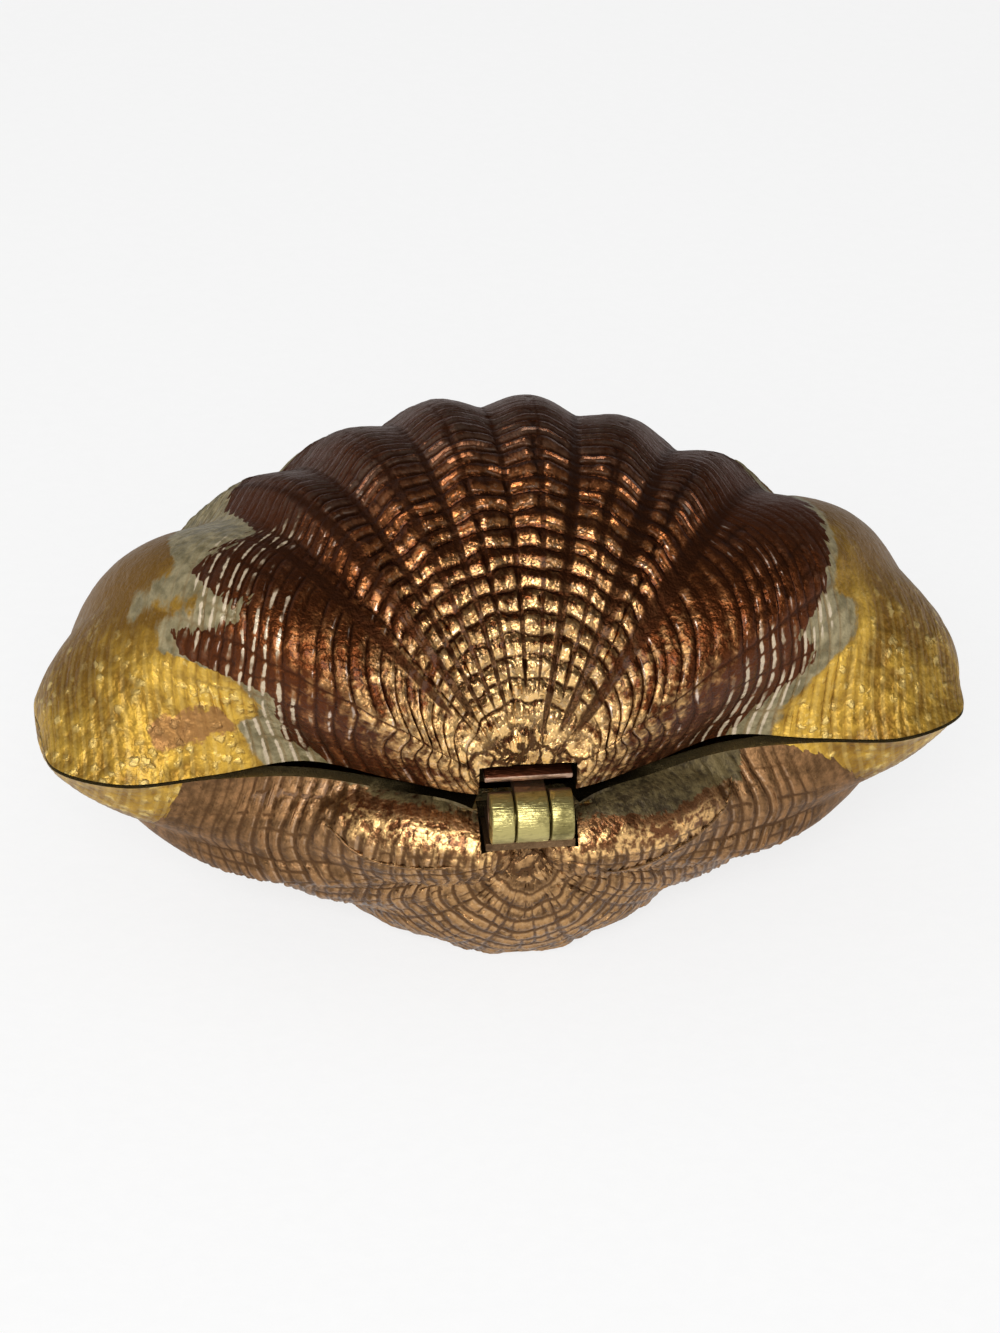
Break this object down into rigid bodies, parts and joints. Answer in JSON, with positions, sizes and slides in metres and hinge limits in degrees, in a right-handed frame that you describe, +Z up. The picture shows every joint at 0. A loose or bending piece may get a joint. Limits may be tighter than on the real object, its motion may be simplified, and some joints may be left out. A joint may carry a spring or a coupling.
{
  "type": "shell trinket box",
  "caption": "Scallop-shaped trinket box: a ribbed enamelled metal lid and base joined at the back by a small barrel hinge, held shut by magnets.",
  "frame": {"origin": "middle of the box's outline, on the floor under its flat sole", "axes": "+Z up; +X along the hinge, to the left when the box is seen from behind; +Y towards the hinge at the back, so the box opens towards -Y"},
  "size_m": [0.0696, 0.048, 0.0364],
  "materials": {
    "lid_enamel": "glossy translucent copper-brown enamel over flaked metal, ochre at the tips",
    "base_enamel": "satin copper-brown enamel over cast texture",
    "brass": "antique brushed brass",
    "magnet": "nickel-plated"
  },
  "bodies": {
    "base": {"base_shell": "base_enamel", "base_hinge_leaf": "brass", "base_hinge_knuckle_left": "brass", "base_hinge_knuckle_right": "brass", "hinge_pin": "brass", "base_magnet": "magnet"},
    "lid": {"lid_shell": "lid_enamel", "lid_hinge_leaf": "brass", "lid_hinge_knuckle": "brass", "lid_magnet": "magnet"}
  },
  "joints": [
    {"name": "lid_hinge", "type": "hinge", "parent": "base", "child": "lid", "pos_m": [0, 0.02217, 0.0157], "axis": [-1, 0, 0], "range_deg": [0, 100]}
  ]
}
